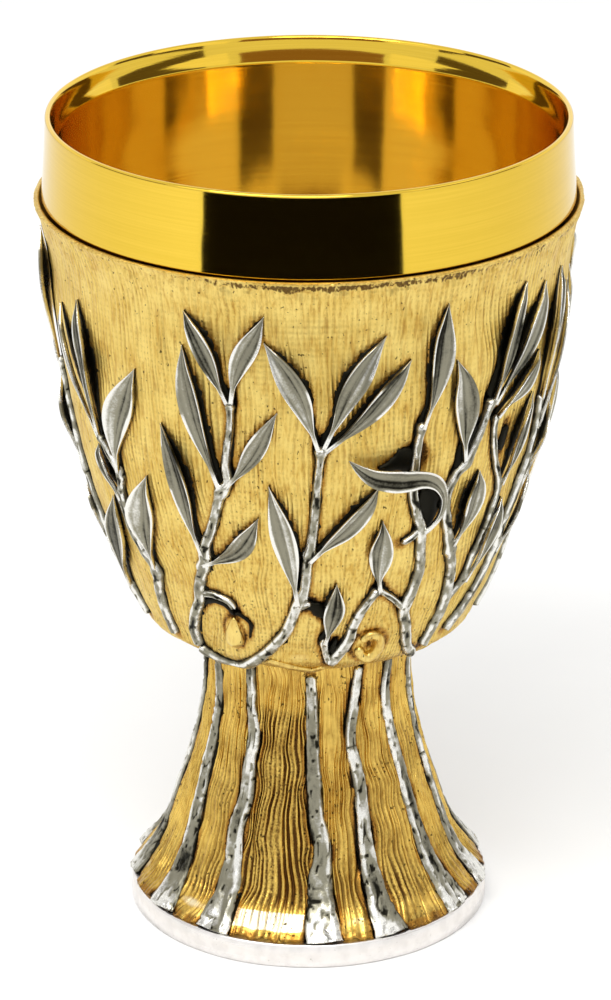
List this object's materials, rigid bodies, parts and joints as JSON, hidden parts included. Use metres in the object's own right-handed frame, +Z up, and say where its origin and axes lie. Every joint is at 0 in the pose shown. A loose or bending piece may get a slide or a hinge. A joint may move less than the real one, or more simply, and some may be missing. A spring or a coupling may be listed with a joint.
{
  "type": "communion chalice",
  "caption": "Footed metal cup: polished gilt liner in a ribbed cast calyx with applied silver leaf sprigs, on a flared cast foot with silver branches and a plain ring.",
  "frame": {"origin": "centre of the underside of the base ring, on the surface the chalice stands on", "axes": "+Z up along the cup's axis; -Y is the front, the side with the folded leaf; +X is to the right seen from the front"},
  "size_m": [0.1152, 0.1152, 0.18],
  "materials": {
    "polished_gilt": "mirror-polished yellow gilding",
    "cast_gilt": "satin gilding over a finely ribbed casting, dark patina in the recesses",
    "oxidised_silver": "oxidised silver, burnished on its edges and dark in its grooves",
    "bright_silver": "bright satin silver",
    "fixing_brass": "plain turned brass"
  },
  "bodies": {
    "root": {"base_ring": "bright_silver", "calyx_bowl": "cast_gilt", "cup_boss": "fixing_brass", "foot": "cast_gilt", "foot_branch_01": "oxidised_silver", "foot_branch_02": "oxidised_silver", "foot_branch_03": "oxidised_silver", "foot_branch_04": "oxidised_silver", "foot_branch_05": "oxidised_silver", "foot_branch_06": "oxidised_silver", "foot_branch_07": "oxidised_silver", "foot_branch_08": "oxidised_silver", "foot_branch_09": "oxidised_silver", "foot_branch_10": "oxidised_silver", "foot_branch_11": "oxidised_silver", "foot_branch_12": "oxidised_silver", "foot_branch_13": "oxidised_silver", "liner_cup": "polished_gilt", "sprig_back_1": "oxidised_silver", "sprig_back_2": "oxidised_silver", "sprig_back_3": "oxidised_silver", "sprig_back_4": "oxidised_silver", "sprig_back_5": "oxidised_silver", "sprig_centre": "oxidised_silver", "sprig_far_left": "oxidised_silver", "sprig_folded_leaf": "oxidised_silver", "sprig_left": "oxidised_silver", "sprig_low_right": "oxidised_silver", "sprig_mid_left": "oxidised_silver", "sprig_right": "oxidised_silver", "sprig_right_edge": "oxidised_silver", "tie_rod": "fixing_brass"},
    "washer": {"rod_washer": "fixing_brass"},
    "nut": {"rod_nut": "fixing_brass"}
  },
  "joints": [
    {"name": "washer_drop", "type": "slide", "parent": "root", "child": "washer", "axis": [0, 0, -1], "range_m": [0, 0.0103]},
    {"name": "nut_turn", "type": "hinge", "parent": "washer", "child": "nut", "pos_m": [0, 0, 0.055], "axis": [0, 0, -1], "range_deg": [0, 2952]}
  ],
  "couplings": [
    {"joint": "washer_drop", "follows": "nut_turn", "m_per_rad": 0.00019894}
  ]
}
